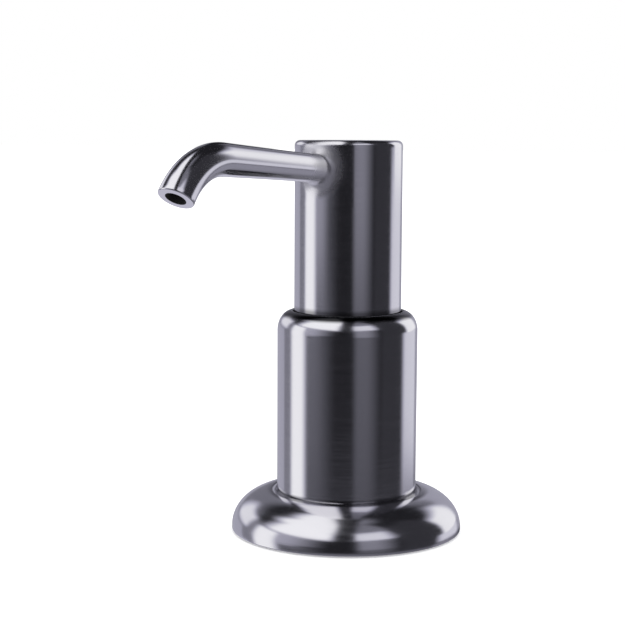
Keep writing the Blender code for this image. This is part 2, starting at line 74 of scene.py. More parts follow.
# The blend at the spout's root: how far it spreads over the head's wall, and its reach along the spout
BLEND_SIDE = 2.2
BLEND_UP = 3.8
BLEND_DOWN = 3.8
BLEND_REACH = 1.6
BLEND_POWER = 2.5
BLEND_RINGS = 18
LEAD_SHARES = (0.06, 0.2, 0.4, 0.58, 0.74, 0.86, 0.94, 1.0)  # rings from the opening to the blend

# The steel is duller round the spout's weld: full reach, last reach (mm) and the roughness added
WELD_NEAR, WELD_FAR, WELD_DULLNESS = 3.4, 8.0, 0.3

# The opening in the head's wall that the spout grows from
HOLE_ACROSS = 28  # faces across it
HOLE_ROWS = 27
HOLE_UP = 5.1  # how far it reaches above and below the spout's centre (mm)
HOLE_DOWN = 8.6
HOLE_TOP_ROOM = 0.15  # the least gap between the opening's edge and the blend's first ring
HOLE_FOOT_ROOM = 0.5
BLEND_WIDEST = 7.3  # how far to each side that ring may reach


# ------------------------------------------------------------------ camera and studio

VIEW_AZIMUTH = math.radians(33.1)


def place_camera():
    distance, height = 365.8 * MM, 93.9 * MM
    outward = Vector((math.sin(VIEW_AZIMUTH), -math.cos(VIEW_AZIMUTH), 0))
    rightward = Vector((math.cos(VIEW_AZIMUTH), math.sin(VIEW_AZIMUTH), 0))
    aim = rightward * -8.2 * MM + UP * 51.4 * MM
    data = bpy.data.cameras.new("studio_camera")
    data.sensor_width = 36.0
    data.lens = 90.66
    data.clip_start = 0.01
    data.clip_end = 50.0
    camera = bpy.data.objects.new("studio_camera", data)
    bpy.context.scene.collection.objects.link(camera)
    camera.location = outward * distance + UP * height
    turn = (aim - camera.location).to_track_quat("-Z", "Y")
    tilt = Matrix.Rotation(math.radians(0.3), 4, "Z")
    camera.rotation_euler = (turn.to_matrix().to_4x4() @ tilt).to_euler()
    bpy.context.scene.camera = camera


def linear(code):
    """An sRGB hex colour as linear red, green, blue and alpha."""
    parts = [int(code[i : i + 2], 16) / 255 for i in (1, 3, 5)]
    return (*[p / 12.92 if p <= 0.04045 else ((p + 0.055) / 1.055) ** 2.4 for p in parts], 1.0)


def add_node(tree, kind, settings=None, **links):
    """Adds a node. Settings are its properties; links are its inputs, each a value or an output."""
    node = tree.nodes.new(kind)
    for name, value in (settings or {}).items():
        setattr(node, name, value)
    for name, value in links.items():
        key = int(name[1:]) if name[0] == "_" and name[1:].isdigit() else name.replace("_", " ")
        if isinstance(value, bpy.types.NodeSocket):
            tree.links.new(value, node.inputs[key])
        else:
            node.inputs[key].default_value = value
    return node


# Softboxes and cards round the object. Each side is a place and the width of its soft edge, in degrees:
# left and right are bearings from the view's direction (right is positive), low and high are heights
# above the horizon. The last number is the brightness, and where cards overlap the brightest shows.
STUDIO = [
    ("key_softbox", (-97, 13), (-15, 6), (26, 5), (66, 5), 1.05),
    ("overhead_softbox", (-172, 5), (-17, 6), (60, 7), (120, 5), 1.04),
    ("overhead_left_softbox", (-116, 12), (-17, 6), (48, 7), (120, 5), 1.04),
    ("small_softbox", (10, 4), (53, 10), (26, 4), (52, 6), 0.78),
    ("right_spill", (8, 6), (60, 8), (50, 5), (120, 5), 0.19),
    ("zenith_spill", (40, 20), (168, 5), (76, 8), (120, 5), 0.26),
    ("left_card", (-105, 6), (-73, 8), (-30, 6), (25, 4), 1.02),
    ("front_left_card", (-90, 10), (-40, 26), (-1, 3), (28, 4), 0.42),
    ("front_left_low_card", (-90, 10), (-48, 14), (-5.6, 2), (1, 3), 0.36),
    ("front_left_table", (-90, 10), (-36, 20), (-14, 3), (-4, 3), 0.125),
    ("front_right_card", (12, 6), (44, 16), (-5.6, 2), (28, 6), 0.25),
    ("front_right_table", (12, 6), (46, 16), (-14, 3), (-4, 3), 0.11),
    ("left_side_card", (-128, 6), (-100, 4), (-30, 6), (28, 6), 0.22),
    ("left_rear_window", (-155, 10), (-117, 6), (4, 6), (29, 5), 0.86),
    ("left_rear_card", (-172, 14), (-124, 5), (-30, 6), (4, 6), 0.44),
    ("rear_fill", (150, 8), (236, 8), (0, 6), (35, 8), 0.19),
    ("right_rear_card", (113, 4), (153, 8), (-3, 2), (35, 8), 0.98),
    ("right_rear_low_card", (104, 7), (150, 8), (-13, 2), (0, 3), 0.74),
    ("right_limb_card", (150, 8), (180, 6), (-13, 2), (26, 5), 0.40),
    ("rear_card", (170, 8), (206, 8), (-13, 2), (6, 4), 0.42),
    ("right_low_fill", (58, 6), (112, 6), (-14, 3), (60, 8), 0.022),
    ("front_table", (-110, 10), (104, 10), (-90, 5), (-16, 2), 0.17),
    ("right_table", (96, 8), (168, 10), (-38, 8), (-15, 2), 0.30),
    ("rear_table", (165, 8), (245, 8), (-70, 8), (-15, 2), 0.62),
]


def set_studio():
    """Softboxes round the object for its gloss, and an even pale dome for everything dull."""
    scene = bpy.context.scene
    scene.view_settings.view_transform = "Standard"
    world = bpy.data.worlds.new("studio")
    scene.world = world
    world.use_nodes = True
    world.cycles.sampling_method = "NONE"
    tree = world.node_tree
    tree.nodes.clear()
    place = add_node(tree, "ShaderNodeTexCoord").outputs["Generated"]
    turned_place = add_node(
        tree,
        "ShaderNodeVectorRotate",
        {"rotation_type": "Z_AXIS"},
        Vector=place,
        Angle=-VIEW_AZIMUTH,
    ).outputs["Vector"]
    axes = add_node(tree, "ShaderNodeSeparateXYZ", Vector=turned_place)

    def maths(operation, first, second=0.0):
        node = add_node(tree, "ShaderNodeMath", {"operation": operation}, _0=first, _1=second)
        return node.outputs[0]

    to_front = maths("MULTIPLY", axes.outputs["Y"], -1.0)
    bearing = maths("DEGREES", maths("ARCTAN2", axes.outputs["X"], to_front))
    height = maths("DEGREES", maths("ARCSINE", axes.outputs["Z"]))
    # The same bearing counted round the other way, for cards that stand behind the object.
    behind = maths("ADD", bearing, maths("MULTIPLY", maths("LESS_THAN", bearing), 360.0))

    def edge(value, start, end):
        return add_node(
            tree,
            "ShaderNodeMapRange",
            {"interpolation_type": "SMOOTHSTEP"},
            Value=value,
            From_Min=start,
            From_Max=end,
        ).outputs["Result"]

    total = 0.0
    for _, left, right, low, high, brightness in STUDIO:
        across = behind if right[0] > 180 else bearing
        panel = brightness
        for value, (where, soft), way in (
            (across, left, 1),
            (across, right, -1),
            (height, low, 1),
            (height, high, -1),
        ):
            panel = maths("MULTIPLY", panel, edge(value, where - way * soft, where + way * soft))
        total = maths("MAXIMUM", total, panel)
    # A dark gap runs from the front over the top to the back, between the softboxes.
    beside = maths("ABSOLUTE", maths("SUBTRACT", axes.outputs["X"], 0.02))
    upper = edge(height, 5, 22)
    gap = maths("MULTIPLY", upper, edge(beside, 0.15, 0.08))
    total = maths("MULTIPLY", total, maths("SUBTRACT", 1.0, gap))
    # The dimmer cards reflect a cooler light than the softboxes give.
    tint = add_node(
        tree,
        "ShaderNodeMix",
        {"data_type": "RGBA"},
        _0=edge(total, 0.5, 1.0),
        _6=(0.91, 0.90, 1.07, 1.0),
        _7=(0.985, 0.985, 1.0, 1.0),
    ).outputs[2]
    gloss = add_node(
        tree, "ShaderNodeBackground", Color=tint, Strength=maths("ADD", total, 0.017)
    )
    dome = add_node(tree, "ShaderNodeBackground", Color=linear("#FFFFFF"), Strength=1.22)
    backdrop = add_node(tree, "ShaderNodeBackground", Color=linear("#FFFFFF"), Strength=1.0)
    rays = add_node(tree, "ShaderNodeLightPath")
    seen = add_node(
        tree,
        "ShaderNodeMixShader",
        _0=rays.outputs["Is Glossy Ray"],
        _1=dome.outputs[0],
        _2=gloss.outputs[0],
    )
    final = add_node(
        tree,
        "ShaderNodeMixShader",
        _0=rays.outputs["Is Camera Ray"],
        _1=seen.outputs[0],
        _2=backdrop.outputs[0],
    )
    add_node(tree, "ShaderNodeOutputWorld", Surface=final.outputs[0])


def lay_floor():
    clear_selection()
    bpy.ops.mesh.primitive_plane_add(size=12.0, location=(0, 0, -0.0001))
    floor = bpy.context.object
    floor.name = "studio_floor"
    material, _, shader = new_material("opal_acrylic_light_table")
    shader.inputs["Base Color"].default_value = linear("#F5F5F5")
    shader.inputs["Roughness"].default_value = 0.9
    shader.inputs["Specular IOR Level"].default_value = 0.0
    shader.inputs["Emission Color"].default_value = linear("#FFFFFF")
    shader.inputs["Emission Strength"].default_value = 0.3
    floor.data.materials.append(material)
    floor.visible_glossy = False


# ------------------------------------------------------------------ materials


def new_material(name):
    material = bpy.data.materials.new(name)
    material.use_nodes = True
    return material, material.node_tree, material.node_tree.nodes["Principled BSDF"]


def brushed_grain(tree, shader, along, rest, spacing, roughness, depth):
    """Fine parallel scratches: noise that runs quickly along one coordinate and slowly along the rest.
    The weld at the spout's root is blended by hand, which leaves the steel round it duller."""
    place = add_node(tree, "ShaderNodeCombineXYZ", X=along, Y=rest)
    noise = add_node(
        tree,
        "ShaderNodeTexNoise",
        Vector=place.outputs[0],
        Scale=1.0 / (spacing * MM),
        Detail=2.0,
        Roughness=0.6,
    )
    shine = add_node(
        tree,
        "ShaderNodeMapRange",
        Value=noise.outputs[0],
        From_Min=0.3,
        From_Max=0.7,
        To_Min=roughness - 0.03,
        To_Max=roughness + 0.03,
    )
    from_weld = add_node(
        tree,
        "ShaderNodeVectorMath",
        {"operation": "DISTANCE"},
        _0=add_node(tree, "ShaderNodeTexCoord").outputs["Object"],
        _1=(0.0, -(HEAD_RADIUS + 0.6) * MM, (SPOUT_LEVEL + 0.4) * MM),
    )
    dull = add_node(
        tree,
        "ShaderNodeMapRange",
        {"interpolation_type": "SMOOTHSTEP"},
        Value=from_weld.outputs["Value"],
        From_Min=WELD_NEAR * MM,
        From_Max=WELD_FAR * MM,
        To_Min=WELD_DULLNESS,
        To_Max=0.0,
    )
    both = add_node(
        tree,
        "ShaderNodeMath",
        {"operation": "ADD"},
        _0=shine.outputs["Result"],
        _1=dull.outputs["Result"],
    )
    tree.links.new(both.outputs[0], shader.inputs["Roughness"])
    bump = add_node(
        tree, "ShaderNodeBump", Height=noise.outputs[0], Strength=depth, Distance=0.004 * MM
    )
    tree.links.new(bump.outputs[0], shader.inputs["Normal"])


# Seams with painted shade: (radius, height) in mm, the shade's full and last reach, the share of the
# steel's colour it leaves
SHADED_SEAMS = (((13.9, 51.9), 1.0, 2.2, 0.03), ((16.6, 9.9), 0.2, 0.7, 0.5))


def unshaded_share(tree, radius, height):
    """How much of the steel's colour is left under the painted shade in the seams, from 0 to 1."""
    section = add_node(tree, "ShaderNodeCombineXYZ", X=radius, Y=height)
    # On the head the painted shade is kept lighter.
    head_shade_cap = add_node(
        tree,
        "ShaderNodeMapRange",
        Value=radius,
        From_Min=(HEAD_RADIUS + 0.1) * MM,
        From_Max=(HEAD_RADIUS + 0.2) * MM,
        To_Min=0.42,
        To_Max=0.0,
    )
    unshaded = 1.0
    for seam, full, last, darkest_share in SHADED_SEAMS:
        away = add_node(
            tree,
            "ShaderNodeVectorMath",
            {"operation": "DISTANCE"},
            _0=section.outputs[0],
            _1=(seam[0] * MM, seam[1] * MM, 0),
        )
        share = add_node(
            tree,
            "ShaderNodeMapRange",
            {"interpolation_type": "SMOOTHSTEP"},
            Value=away.outputs["Value"],
            From_Min=full * MM,
            From_Max=last * MM,
            To_Min=darkest_share,
        )
        unshaded = add_node(
            tree, "ShaderNodeMath", {"operation": "MULTIPLY"}, _0=unshaded, _1=share.outputs["Result"]
        ).outputs[0]
    return add_node(
        tree, "ShaderNodeMath", {"operation": "MAXIMUM"}, _0=unshaded, _1=head_shade_cap.outputs["Result"]
    ).outputs[0]


def turned_stainless():
    """Stainless steel 304, turned and then polished satin: faint rings round the axis soften its gloss,
    and painted shade darkens the steel's colour in the seams, mostly the one that the head slides in."""
    material, tree, shader = new_material("satin_turned_stainless_304")
    shader.inputs["Metallic"].default_value = 1.0
    place = add_node(tree, "ShaderNodeTexCoord").outputs["Object"]
    axes = add_node(tree, "ShaderNodeSeparateXYZ", Vector=place)
    flat = add_node(tree, "ShaderNodeCombineXYZ", X=axes.outputs["X"], Y=axes.outputs["Y"])
    radius = add_node(
        tree, "ShaderNodeVectorMath", {"operation": "LENGTH"}, Vector=flat.outputs[0]
    )
    # Painted shade: the steel's colour goes towards near-black in the seams.
    colour = add_node(
        tree,
        "ShaderNodeMix",
        {"data_type": "RGBA"},
        _0=unshaded_share(tree, radius.outputs["Value"], axes.outputs["Z"]),
        _6=linear("#08080A"),
        _7=linear("#E6E5E9"),
    )
    tree.links.new(colour.outputs[2], shader.inputs["Base Color"])
    across = add_node(
        tree, "ShaderNodeMath", {"operation": "ADD"}, _0=radius.outputs["Value"], _1=axes.outputs["Z"]
    )
    bearing = add_node(
        tree,
        "ShaderNodeMath",
        {"operation": "ARCTAN2"},
        _0=axes.outputs["X"],
        _1=axes.outputs["Y"],
    )
    slow = add_node(
        tree, "ShaderNodeMath", {"operation": "MULTIPLY"}, _0=bearing.outputs[0], _1=0.0004
    )
    # Real polishing rings are about 0.05 mm apart; 0.3 mm is the finest that still shows.
    brushed_grain(tree, shader, across.outputs[0], slow.outputs[0], 0.3, 0.15, 0.1)
    return material


def drawn_stainless():
    """Stainless tube, drawn, bent and polished with a belt: faint bands run round the tube."""
    material, tree, shader = new_material("satin_drawn_stainless_tube")
    shader.inputs["Base Color"].default_value = linear("#E6E5E9")
    shader.inputs["Metallic"].default_value = 1.0
    along = add_node(tree, "ShaderNodeAttribute", {"attribute_name": "along"}).outputs["Fac"]
    brushed_grain(tree, shader, along, 0.0, 0.35, 0.15, 0.1)
    return material


def bored_stainless():
    """The unpolished inside of a stainless tube, dull, its colour painted near-black in blotches as
    painted shade in the bore.
    """
    material, tree, shader = new_material("shade_painted_stainless_bore")
    shader.inputs["Roughness"].default_value = 0.7
    shader.inputs["Specular IOR Level"].default_value = 0.15
    place = add_node(tree, "ShaderNodeTexCoord").outputs["Object"]
    blotches = add_node(tree, "ShaderNodeTexNoise", Vector=place, Scale=1.0 / (0.8 * MM))
    # Painted shade: the bore's colour is near-black.
    bore_shade = add_node(
        tree,
        "ShaderNodeMix",
        {"data_type": "RGBA"},
        _0=blotches.outputs[0],
        _6=linear("#0B0B0C"),
        _7=linear("#1C1B1B"),
    )
    tree.links.new(bore_shade.outputs[2], shader.inputs["Base Color"])
    return material


def moulded(name, colour, roughness, ior, speckle):
    """An injection-moulded polymer with a fine spark-eroded texture from its tool."""
    material, tree, shader = new_material(name)
    shader.inputs["IOR"].default_value = ior
    place = add_node(tree, "ShaderNodeTexCoord").outputs["Object"]
    grain = add_node(
        tree, "ShaderNodeTexNoise", Vector=place, Scale=1.0 / (0.25 * MM), Detail=3.0
    )
    cloud = add_node(
        tree, "ShaderNodeTexNoise", Vector=place, Scale=1.0 / (6.0 * MM), Detail=2.0
    )
    tint = add_node(
        tree,
        "ShaderNodeMix",
        {"data_type": "RGBA"},
        _0=cloud.outputs[0],
        _6=linear(colour),
        _7=linear(speckle),
    )
    tree.links.new(tint.outputs[2], shader.inputs["Base Color"])
    shine = add_node(
        tree,
        "ShaderNodeMapRange",
        Value=grain.outputs[0],
        To_Min=roughness - 0.06,
        To_Max=roughness + 0.06,
    )
    tree.links.new(shine.outputs["Result"], shader.inputs["Roughness"])
    bump = add_node(
        tree, "ShaderNodeBump", Height=grain.outputs[0], Strength=0.25, Distance=0.01 * MM
    )
    tree.links.new(bump.outputs[0], shader.inputs["Normal"])
    return material


def liner_tube():
    """The liner's extruded polyethylene, clouded, and painted dark grey as painted shade inside the
    spout's bore.
    """
    material = moulded("shade_painted_polyethylene_liner", "#343637", 0.85, 1.51, "#262829")
    shader = material.node_tree.nodes["Principled BSDF"]
    shader.inputs["Specular IOR Level"].default_value = 0.0
    return material


def spring_wire():
    """Drawn stainless spring wire: bright, with faint lines from the die."""
    material, tree, shader = new_material("drawn_stainless_spring_wire")
    shader.inputs["Base Color"].default_value = linear("#C4C4C6")
    shader.inputs["Metallic"].default_value = 1.0
    place = add_node(tree, "ShaderNodeTexCoord").outputs["Object"]
    grain = add_node(
        tree, "ShaderNodeTexNoise", Vector=place, Scale=1.0 / (0.4 * MM), Detail=2.0
    )
    shine = add_node(
        tree, "ShaderNodeMapRange", Value=grain.outputs[0], To_Min=0.18, To_Max=0.34
    )
    tree.links.new(shine.outputs["Result"], shader.inputs["Roughness"])
    return material


def make_materials():
    return {
        "turned": turned_stainless(),
        "drawn": drawn_stainless(),
        "bore": bored_stainless(),
        "spring": spring_wire(),
        "liner": liner_tube(),
        "white_acetal": moulded("moulded_white_acetal", "#E9E9E4", 0.42, 1.48, "#E2E2DC"),
        "black_acetal": moulded("moulded_black_acetal", "#17171A", 0.40, 1.48, "#1C1C1F"),
        "grey_polypropylene": moulded("moulded_grey_polypropylene", "#97999C", 0.5, 1.49, "#8F9194"),
        "polyethylene": moulded("moulded_natural_polyethylene", "#E0E3E3", 0.45, 1.51, "#D8DCDC"),
        "rubber": moulded("moulded_nitrile_rubber", "#141414", 0.62, 1.52, "#1B1B1B"),
    }


# ------------------------------------------------------------------ modelling


def clear_selection():
    if bpy.context.object and bpy.context.object.mode == "EDIT":
        bpy.ops.object.mode_set(mode="OBJECT")
    bpy.ops.object.select_all(action="DESELECT")


def select_where(obj, wanted, kind="VERT"):
    """Selects the vertices for which wanted(place) is true, and the edges or faces that they make up."""
    bpy.ops.mesh.select_mode(type="VERT")
    bpy.ops.mesh.select_all(action="DESELECT")
    bpy.ops.object.mode_set(mode="OBJECT")
    for vertex in obj.data.vertices:
        vertex.select = wanted(vertex.co)
    bpy.ops.object.mode_set(mode="EDIT")
    bpy.ops.mesh.select_mode(type=kind)


def curve_points(centre, radii, start, end, steps):
    """Points on an ellipse's arc between two angles in degrees, as (radius, height) in mm."""
    points = []
    for i in range(steps + 1):
        angle = math.radians(start + (end - start) * i / steps)
        points.append(
            (centre[0] + radii[0] * math.cos(angle), centre[1] + radii[1] * math.sin(angle))
        )
    return points


def rounded(outline, rounds, steps=4):
    """The outline with some corners rounded. Rounds gives a radius in mm for a corner's index."""
    made = []
    count = len(outline)
    for i, corner in enumerate(outline):
        if i not in rounds:
            made.append(corner)
            continue
        here = Vector(corner)
        before = (Vector(outline[i - 1]) - here).normalized()
        after = (Vector(outline[(i + 1) % count]) - here).normalized()
        for k in range(steps + 1):
            t = k / steps
            start, end = here + before * rounds[i], here + after * rounds[i]
            point = start * (1 - t) ** 2 + here * 2 * t * (1 - t) + end * t**2
            made.append((point.x, point.y))
    return made


def extrude_rings(outline, sides):
    """Starts with a circle and extrudes it from ring to ring along the outline, in edit mode."""
    radius, height = outline[0]
    clear_selection()
    bpy.ops.mesh.primitive_circle_add(
        vertices=sides, radius=radius * MM, location=(0, 0, height * MM)
    )
    bpy.ops.object.transform_apply()
    bpy.ops.object.mode_set(mode="EDIT")
    bpy.ops.mesh.select_all(action="SELECT")
    for next_radius, next_height in outline[1:]:
        rise = (next_height - height) * MM
        bpy.ops.mesh.extrude_region_move(TRANSFORM_OT_translate={"value": (0, 0, rise)})
        share = next_radius / radius
        bpy.ops.transform.resize(
            value=(share, share, 1), center_override=(0, 0, next_height * MM)
        )
        radius, height = next_radius, next_height
    return bpy.context.object


def finish_piece(obj, name, material, body, *nodes, weights="FACE_AREA"):
    """Names a finished piece, smooths it and hands it to the frame."""
    obj.name = obj.data.name = name
    obj.data.materials.append(material)
    bpy.ops.object.shade_smooth()
    even = obj.modifiers.new("Even shading", "WEIGHTED_NORMAL")
    even.keep_sharp = True
    even.mode = weights
    bpy.ops.object.modifier_apply(modifier=even.name)
    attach(obj, body)
    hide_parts(*nodes)
    return obj


def turned_ring(name, outline, material, body, *nodes):
    """A turned piece with a hole through it: its outline closes on itself."""
    obj = extrude_rings([*outline, outline[0]], ROUND)
    bpy.ops.mesh.select_all(action="SELECT")
    bpy.ops.mesh.remove_doubles(threshold=0.001 * MM)
    bpy.ops.mesh.select_all(action="SELECT")
    bpy.ops.mesh.normals_make_consistent(inside=False)
    bpy.ops.object.mode_set(mode="OBJECT")
    return finish_piece(obj, name, material, body, *nodes)


# ------------------------------------------------------------------ steel shells


def make_flange(materials):
    """Spun dome, with a recess for the collar's foot and a hollow underneath."""
    dome = curve_points((17.2, 1.1), (9.8, 8.4), 86, 0, 22)
    outline = [
        (COLLAR_RADIUS + 0.15, 9.55),
        *dome,
        *rounded([dome[-1], (27.0, 0.3), (25.2, 0.3)], {1: 0.25}, 3)[1:],
        (25.2, 2.6),
        (23.6, 4.4),
        (21.0, 5.9),
        (15.6, 5.9),
        (15.6, 2.0),
        (13.0, 2.0),
        (13.0, 7.4),
        (COLLAR_RADIUS + 0.15, 7.4),
    ]
    return turned_ring("flange_dome", outline, materials["turned"], "base", "flange")


def make_collar(materials):
    """Turned sleeve with a rounded shoulder, a pocket for the guide ring and a seat for the pump."""
    shoulder = curve_points((12.9, 47.5), (3.5, 4.5), 88, 0, 18)
    inside = [
        (16.4, 8.7),
        (12.6, 8.7),
        (12.6, 0.6),
        (10.6, 0.6),
        (10.6, 11.0),
        (9.2, 11.0),
        (9.2, 15.7),
        (12.9, 15.7),
        (12.9, 43.7),
        (14.3, 43.7),
        (14.3, 50.0),
        (12.9, 50.0),
        (12.8, 51.7),
    ]
    outline = [*shoulder, *rounded(inside, {0: 0.4, 2: 0.4, 3: 0.3, 7: 0.3}, 3)]
    return turned_ring("collar_sleeve", outline, materials["turned"], "base", "collar")


def spout_place(distance):
    """(place in mm, heading) of the spout's centreline, that far out from the head's axis along it."""
    slope = math.tan(SPOUT_CLIMB)
    if distance <= SPOUT_BEND_START:
        height = SPOUT_LEVEL + (distance - HEAD_RADIUS) * slope
        return Vector((0, -distance, height)), SPOUT_CLIMB
    level = SPOUT_LEVEL + (SPOUT_BEND_START - HEAD_RADIUS) * slope
    heading = SPOUT_CLIMB - (distance - SPOUT_BEND_START) / SPOUT_BEND_RADIUS
    out = SPOUT_BEND_START + SPOUT_BEND_RADIUS * (math.sin(SPOUT_CLIMB) - math.sin(heading))
    height = level - SPOUT_BEND_RADIUS * (math.cos(SPOUT_CLIMB) - math.cos(heading))
    return Vector((0, -out, height)), heading


def spout_width(distance):
    share = (distance - HEAD_RADIUS) / (SPOUT_END - HEAD_RADIUS)
    return SPOUT_ROOT + (SPOUT_TIP - SPOUT_ROOT) * max(share, 0) ** 1.6


def blend_size(angle):
    """(spread over the wall, reach along the spout) of the blend, at an angle round the spout."""
    rise = math.sin(angle)
    over = BLEND_UP if rise > 0 else BLEND_DOWN
    spread = BLEND_SIDE + (over - BLEND_SIDE) * rise**2
    return spread, BLEND_REACH + 0.7 * max(rise, 0) ** 2


def blend_height(x, rise):
    """How far the blend stands off the head's wall, at a place beside the spout's axis (mm)."""
    spread, reach = blend_size(math.atan2(rise, x))
    share = (SPOUT_ROOT + spread - math.hypot(x, rise)) / spread
    share = min(max(share, 0.0), 1.0)
    return reach * (1 - (1 - share**BLEND_POWER) ** (1 / BLEND_POWER))


def move_ring(obj, place):
    """Moves each selected vertex of the mesh in edit mode to place(its position), in metres."""
    bpy.ops.object.mode_set(mode="OBJECT")
    chosen = [v for v in obj.data.vertices if v.select]
    places = place([v.co.copy() for v in chosen])
    for vertex, target in zip(chosen, places):
        vertex.co = target
    bpy.ops.object.mode_set(mode="EDIT")


def ring_angles(points, level):
    """Even angles round the spout for the points of the opening, in their own order."""
    raw = [math.atan2(p.z - level, p.x) for p in points]
    order = sorted(range(len(points)), key=lambda i: raw[i])
    even = [0.0] * len(points)
    step = math.tau / len(points)
    drift = sum(raw[i] - k * step for k, i in enumerate(order)) / len(points)
    for k, i in enumerate(order):
        even[i] = k * step + drift
    return even


def swell_wall(obj):
    """Moves the wall and top edge round the spout outwards, where the blend runs over them."""
    bpy.ops.object.mode_set(mode="OBJECT")
    for vertex in obj.data.vertices:
        place = vertex.co / MM
        out = math.hypot(place.x, place.y)
        inner = HEAD_RADIUS - HEAD_WALL
        if place.y < 0 and out > inner + 0.01 and place.z > SPOUT_LEVEL - HOLE_DOWN:
            fade = (out - inner) / HEAD_WALL
            vertex.co.y -= blend_height(place.x, place.z - SPOUT_LEVEL) * fade * MM
    bpy.ops.object.mode_set(mode="EDIT")


def wall_place(x, rise):
    """A place on the head's wall, with the blend's swelling on it (mm)."""
    out = math.sqrt(HEAD_RADIUS**2 - x**2) + blend_height(x, rise)
    return Vector((x, -out, SPOUT_LEVEL + rise))


def blend_start(angle):
    """The radius at which the blend's rings leave the wall, kept inside the opening."""
    spread, _ = blend_size(angle)
    rise, across = math.sin(angle), abs(math.cos(angle))
    if rise > 0:
        room = (HOLE_UP - HOLE_TOP_ROOM) / rise
    else:
        room = (HOLE_DOWN - HOLE_FOOT_ROOM) / max(-rise, 0.01)
    return min(SPOUT_ROOT + spread, room, BLEND_WIDEST / max(across, 0.01))


def open_wall(obj):
    """Deletes the head's wall round the spout's root, and selects the opening's edge."""
    half_width = math.tau / HEAD_SIDES * (HOLE_ACROSS / 2 + 0.1)
    low, high = SPOUT_LEVEL - HOLE_DOWN - 0.01, SPOUT_LEVEL + HOLE_UP + 0.01

    def in_opening(co):
        bearing = math.atan2(co.x, -co.y)
        on_wall = math.hypot(co.x, co.y) > (HEAD_RADIUS - 0.05) * MM
        return on_wall and abs(bearing) < half_width and low * MM < co.z < high * MM

    select_where(obj, in_opening, "FACE")
    bpy.ops.mesh.delete(type="FACE")
    bpy.ops.mesh.select_mode(type="EDGE")
    bpy.ops.mesh.select_all(action="DESELECT")
    bpy.ops.mesh.select_non_manifold(use_wire=False, use_multi_face=False)


def lead_ring(share):
    """A ring on the wall, part of the way from the opening's edge to the start of the blend."""

    def place(points):
        out = []
        for point, angle in zip(points, ring_angles(points, SPOUT_LEVEL * MM)):
            radius = blend_start(angle)
            x, rise = point.x / MM, point.z / MM - SPOUT_LEVEL
            x += (radius * math.cos(angle) - x) * share
            rise += (radius * math.sin(angle) - rise) * share
            out.append(wall_place(x, rise) * MM)
        return out

    return place


def blend_ring(share):
    """A ring of the blend, from where it leaves the wall (0) to the tube (1)."""
    slope = math.tan(SPOUT_CLIMB)

    def place(points):
        out = []
        for angle in ring_angles(points, SPOUT_LEVEL * MM):
            spread, reach = blend_size(angle)
            first = (SPOUT_ROOT + spread - blend_start(angle)) / spread
            first_turn = math.asin(first ** (BLEND_POWER / 2))
            turn = first_turn + (math.pi / 2 - first_turn) * share
            radius = SPOUT_ROOT + spread * (1 - math.sin(turn) ** (2 / BLEND_POWER))
            height = reach * (1 - math.cos(turn) ** (2 / BLEND_POWER))
            straight = share**3
            x, rise = radius * math.cos(angle), radius * math.sin(angle)
            sag = HEAD_RADIUS - math.sqrt(HEAD_RADIUS**2 - x**2)
            away = height - sag * (1 - straight) + (BLEND_REACH - reach) * straight
            lean = rise * slope * straight
            z = SPOUT_LEVEL + rise + away * slope * straight
            out.append(Vector((x, -HEAD_RADIUS - away + lean, z)) * MM)
        return out

    return place


def spout_section(distance):
    """(centre in mm, upward direction) of the spout's section, that far along it."""
    centre, heading = spout_place(distance)
    return centre, Vector((0, math.sin(heading), math.cos(heading)))


def tube_ring(section, radius, last):
    """A ring round the spout, each vertex at the angle that it had in the last section."""
    centre, over = section
    side = Vector((1, 0, 0))

    def place(points):
        arms = [p / MM - last[0] for p in points]
        angles = [math.atan2(arm.dot(last[1]), arm.x) for arm in arms]
        return [
            (centre + side * radius * math.cos(a) + over * radius * math.sin(a)) * MM
            for a in angles
        ]

    return place


def tube_rings(start):
    """(distance, radius) of the tube's rings: outwards, over the outlet's face and back in the bore."""
    bend_end = SPOUT_END - OUTLET_EDGE
    steps = [i / SPOUT_STEPS for i in range(SPOUT_STEPS + 1)]
    out = [start + (SPOUT_BEND_START - start) * share for share in steps[1:]]
    out += [SPOUT_BEND_START + (bend_end - SPOUT_BEND_START) * share for share in steps[1:]]
    rings = [(distance, spout_width(distance)) for distance in out]
    for turn in (30, 60, 90):
        angle = math.radians(turn)
        drop = OUTLET_EDGE * (1 - math.cos(angle))
        rings.append((bend_end + OUTLET_EDGE * math.sin(angle), SPOUT_TIP - drop))
    rings.append((SPOUT_END, SPOUT_TIP - OUTLET_EDGE - 0.1))
    rings.append((SPOUT_END, SPOUT_BORE + BORE_EDGE + 0.05))
    for turn in (90, 45, 0):
        angle = math.radians(turn)
        depth = BORE_EDGE * (1 - math.sin(angle))
        rings.append((SPOUT_END - depth, SPOUT_BORE + BORE_EDGE * (1 - math.cos(angle))))
    # The bore's rings start 1 mm behind the face, and its blind end is inside the head.
    back = [SPOUT_END - 1.0 - (SPOUT_END - 13.0) * share for share in steps]
    return rings + [(distance, SPOUT_BORE) for distance in back]


def draw_spout(obj):
    """Extrudes an opening in the head's wall into a blended root, the tube and its bore."""
    open_wall(obj)
    for share in LEAD_SHARES:
        bpy.ops.mesh.extrude_region_move()
        move_ring(obj, lead_ring(share))
    for i in range(1, BLEND_RINGS + 1):
        bpy.ops.mesh.extrude_region_move()
        move_ring(obj, blend_ring(i / BLEND_RINGS))
    start = HEAD_RADIUS + BLEND_REACH
    last = spout_section(start)
    for distance, radius in tube_rings(start):
        bpy.ops.mesh.extrude_region_move()
        section = spout_section(distance)
        move_ring(obj, tube_ring(section, radius, last))
        last = section
    bpy.ops.mesh.edge_face_add()


def nearest_on_spout(place):
    """The point of the spout's centreline nearest to a place in mm."""
    distances = [HEAD_RADIUS + (SPOUT_END - HEAD_RADIUS) * i / 120 for i in range(121)]
    return min((spout_place(d)[0] for d in distances), key=lambda point: (point - place).length)


